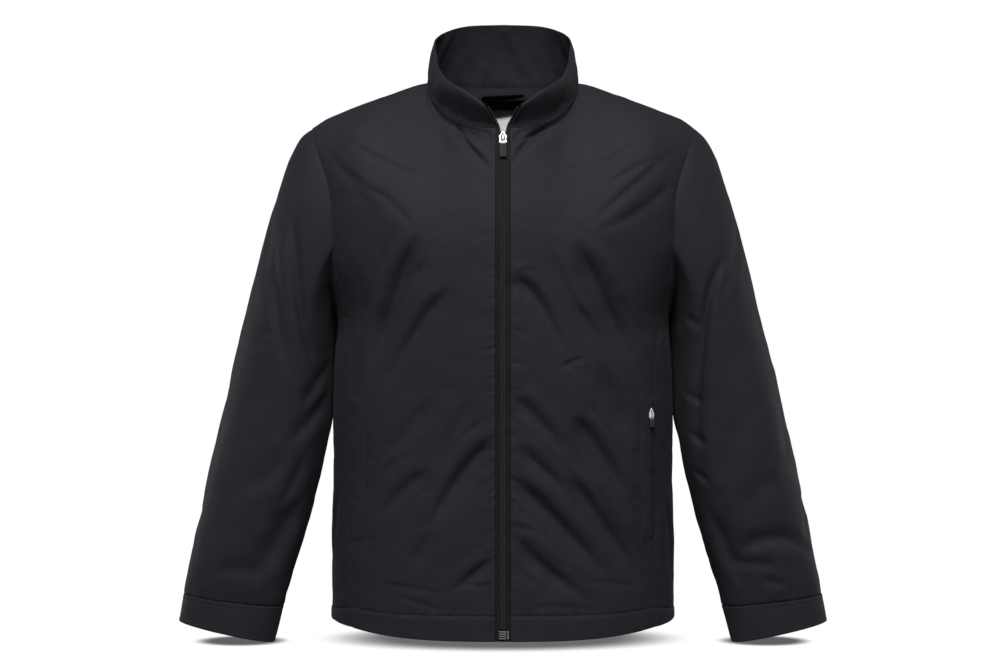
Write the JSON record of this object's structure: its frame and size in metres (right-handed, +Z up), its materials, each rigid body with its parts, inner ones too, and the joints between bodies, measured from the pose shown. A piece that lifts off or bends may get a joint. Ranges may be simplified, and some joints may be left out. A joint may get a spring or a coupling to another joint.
{
  "type": "windbreaker jacket, filled out with no wearer",
  "caption": "Men's black windbreaker jacket, zipped up, filled out with no wearer: stand collar, silver zip sliders, two welt pockets, straight sleeves and hem.",
  "frame": {"origin": "middle of the neck's base, level with the points where the shoulder seams meet the collar, where a wearer holds the jacket up", "axes": "+X to the wearer's left, +Y to the wearer's back, +Z up; the jacket's front faces -Y"},
  "size_m": [0.8342, 0.2988, 0.8077],
  "materials": {
    "shell_cloth": "soft satin",
    "zip_tape_weave": "matte",
    "slider_metal": "polished",
    "pull_moulding": "satin",
    "label_black": "matte",
    "label_white": "matte"
  },
  "bodies": {
    "jacket": {"front_right": "shell_cloth", "front_left": "shell_cloth", "side_right": "shell_cloth", "side_left": "shell_cloth", "back": "shell_cloth", "sleeve_right": "shell_cloth", "sleeve_left": "shell_cloth", "cuff_right": "shell_cloth", "cuff_left": "shell_cloth", "collar": "shell_cloth", "welt_right": "shell_cloth", "welt_left": "shell_cloth", "zip_tape_right": "zip_tape_weave", "zip_tape_left": "zip_tape_weave", "pocket_zip": "zip_tape_weave", "zip_slider": "slider_metal", "zip_box": "slider_metal", "pocket_slider": "slider_metal", "neck_label": "label_black", "size_tab": "label_white"},
    "zip_pull_hanger": {"zip_link": "slider_metal", "zip_pull": "pull_moulding"},
    "pocket_pull_hanger": {"pocket_link": "slider_metal", "pocket_pull": "pull_moulding"}
  },
  "joints": [
    {"name": "zip_pull_swing", "type": "hinge", "parent": "jacket", "child": "zip_pull_hanger", "pos_m": [0, -0.1119, -0.08135], "axis": [-1, 0, 0], "range_deg": [0, 160]},
    {"name": "pocket_pull_swing", "type": "hinge", "parent": "jacket", "child": "pocket_pull_hanger", "pos_m": [0.18725, -0.09299, -0.41793], "axis": [-0.7031, -0.7092, 0.0514], "range_deg": [0, 160]}
  ]
}
